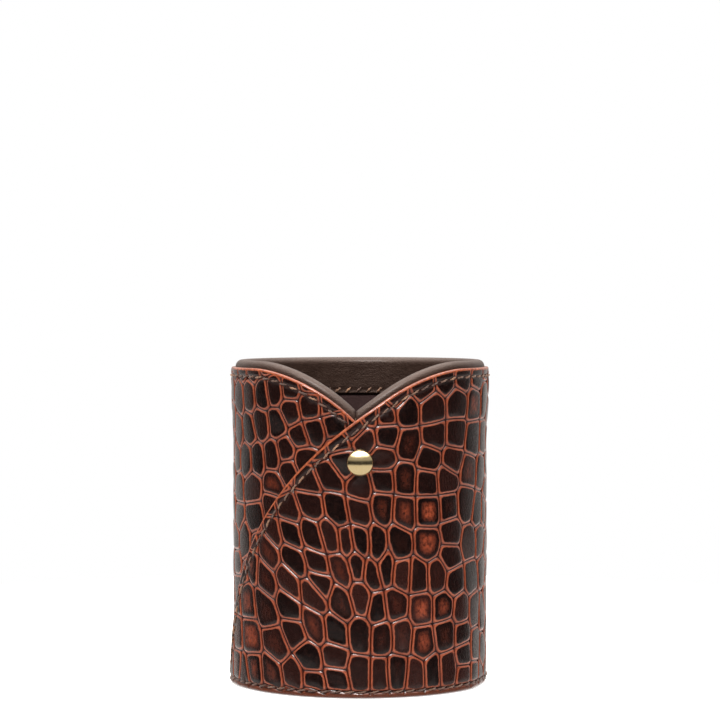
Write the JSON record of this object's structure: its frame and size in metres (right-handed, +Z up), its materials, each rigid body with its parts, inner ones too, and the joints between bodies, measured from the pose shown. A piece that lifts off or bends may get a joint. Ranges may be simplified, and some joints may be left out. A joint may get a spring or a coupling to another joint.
{
  "type": "dice cup",
  "caption": "cylindrical leather dice cup: a stiff tube wrapped in an embossed sheet whose ends cross in a notch at the front, under a brass stud",
  "frame": {"origin": "on the cup's axis, at the underside of its base", "axes": "+Z up along the axis to the open end; the front, with the notch and the stud, faces -Y; +X to the right as seen from the front"},
  "size_m": [0.0819, 0.0849, 0.0997],
  "materials": {
    "embossed_leather": "glossy dark brown scales with red-brown grooves, embossed",
    "smooth_leather": "dark brown, fine grain, satin",
    "suede": "dark brown, napped, matt",
    "board": "grey-brown pressed fibre board, matt",
    "brass": "polished",
    "thread": "waxed twisted thread, brown"
  },
  "bodies": {
    "root": {"outer_wrap": "embossed_leather", "core_tube": "board", "rim_facing": "smooth_leather", "wall_lining": "suede", "floor_lining": "suede", "base_board": "board", "base_cover": "smooth_leather", "stud_cap": "brass", "stud_back": "brass", "edge_thread": "thread", "base_thread": "thread", "facing_thread": "thread"}
  },
  "joints": []
}
